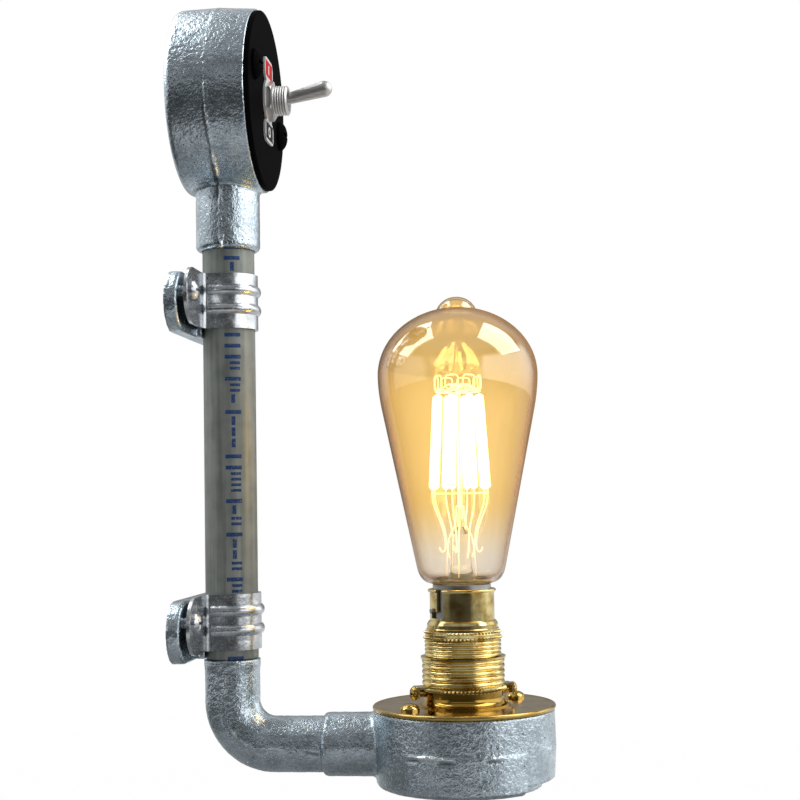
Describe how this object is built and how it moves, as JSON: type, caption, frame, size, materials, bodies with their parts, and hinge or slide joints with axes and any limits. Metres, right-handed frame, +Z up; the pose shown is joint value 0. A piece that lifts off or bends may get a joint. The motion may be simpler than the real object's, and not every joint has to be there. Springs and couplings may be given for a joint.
{
  "type": "wall light",
  "caption": "Pipe wall light: a round switch box over a steel conduit in two saddles, a cast elbow, and a round box with a brass bayonet lampholder and an upright amber bulb.",
  "frame": {"origin": "centre of the switch box's back face, on the wall", "axes": "+X out of the wall, +Z up along the conduit, +Y along the wall"},
  "size_m": [0.1381, 0.074, 0.2975],
  "materials": {
    "galvanised_casting": "cast iron, hot-dip galvanised, hammered and faintly pitted",
    "conduit_zinc": "satin galvanised steel tube with rows of blue ink dashes",
    "saddle_zinc": "shiny zinc-plated pressed steel",
    "black_enamel": "gloss black enamel",
    "indicator_silver": "satin plate with a red ON field and a black OFF field",
    "satin_nickel": "satin nickel plating",
    "polished_brass": "polished",
    "terminal_brass": "plain machined",
    "amber_glass": "clear amber",
    "clear_glass": "clear",
    "cap_nickel": "nickel-plated",
    "black_insulator": "black, glossy",
    "switch_case": "dark red moulded",
    "holder_ceramic": "glazed white",
    "block_nylon": "natural white",
    "solder": "dull grey",
    "filament_phosphor": "yellow phosphor strips",
    "steel_wire": "plain",
    "insulation_brown": "brown insulation",
    "insulation_blue": "blue insulation",
    "insulation_green_yellow": "green insulation with a yellow stripe"
  },
  "bodies": {
    "fixture": {"switch_box": "galvanised_casting", "switch_lid": "black_enamel", "lid_screws": "black_enamel", "indicator_plate": "indicator_silver", "toggle_hex_nut": "satin_nickel", "toggle_bushing": "satin_nickel", "toggle_lock_washer": "satin_nickel", "toggle_body": "switch_case", "lever_pivot_pin": "steel_wire", "switch_terminals": "terminal_brass", "switch_terminal_screws": "steel_wire", "terminal_block": "block_nylon", "block_tubes": "terminal_brass", "block_screws": "steel_wire", "conduit": "conduit_zinc", "elbow": "galvanised_casting", "elbow_nipple": "conduit_zinc", "lamp_box": "galvanised_casting", "lamp_plate": "polished_brass", "plate_screws": "polished_brass", "holder_collar": "polished_brass", "holder_flange": "polished_brass", "side_screws": "polished_brass", "holder_skirt": "polished_brass", "shade_washer": "polished_brass", "holder_barrel": "polished_brass", "holder_insulator": "holder_ceramic", "holder_terminals": "terminal_brass", "holder_terminal_screws": "steel_wire", "live_link_wire": "insulation_brown", "switched_live_wire": "insulation_brown", "neutral_wire": "insulation_blue", "earth_wire": "insulation_green_yellow", "earth_terminal": "terminal_brass", "earth_screw": "steel_wire", "upper_saddle_base": "galvanised_casting", "upper_saddle_strap": "saddle_zinc", "upper_saddle_screws": "saddle_zinc", "lower_saddle_base": "galvanised_casting", "lower_saddle_strap": "saddle_zinc", "lower_saddle_screws": "saddle_zinc"},
    "lever": {"toggle_lever": "satin_nickel"},
    "rocker": {"contact_rocker": "terminal_brass"},
    "plungers": {"contact_plungers": "terminal_brass", "plunger_springs": "steel_wire"},
    "bulb": {"bulb_glass": "amber_glass", "bulb_cap": "cap_nickel", "bulb_pins": "cap_nickel", "cap_insulator": "black_insulator", "cap_contacts": "solder", "glass_stem": "clear_glass", "led_filaments": "filament_phosphor", "filament_frame": "steel_wire"},
    "gallery_ring": {"shade_ring": "polished_brass"}
  },
  "joints": [
    {"name": "lever_tilt", "type": "hinge", "parent": "fixture", "child": "lever", "pos_m": [0.0373, 0, 0], "axis": [0, 1, 0], "range_deg": [0, 26]},
    {"name": "rocker_tilt", "type": "hinge", "parent": "fixture", "child": "rocker", "pos_m": [0.021, 0, 0], "axis": [0, 1, 0], "range_deg": [-16, 0]},
    {"name": "bulb_press", "type": "slide", "parent": "fixture", "child": "bulb", "axis": [0, 0, 1], "range_m": [-0.0015, 0], "stiffness_N_per_m": 1500, "springref_m": 0.003},
    {"name": "plunger_press", "type": "slide", "parent": "fixture", "child": "plungers", "axis": [0, 0, 1], "range_m": [-0.0015, 0], "deforming": ["plunger_springs"]},
    {"name": "gallery_ring_turn", "type": "hinge", "parent": "fixture", "child": "gallery_ring", "pos_m": [0.1039, 0, -0.2137], "axis": [0, 0, 1], "continuous": true}
  ],
  "couplings": [
    {"joint": "rocker_tilt", "follows": "lever_tilt", "ratio": -0.6153},
    {"joint": "plunger_press", "follows": "bulb_press", "ratio": 1}
  ]
}
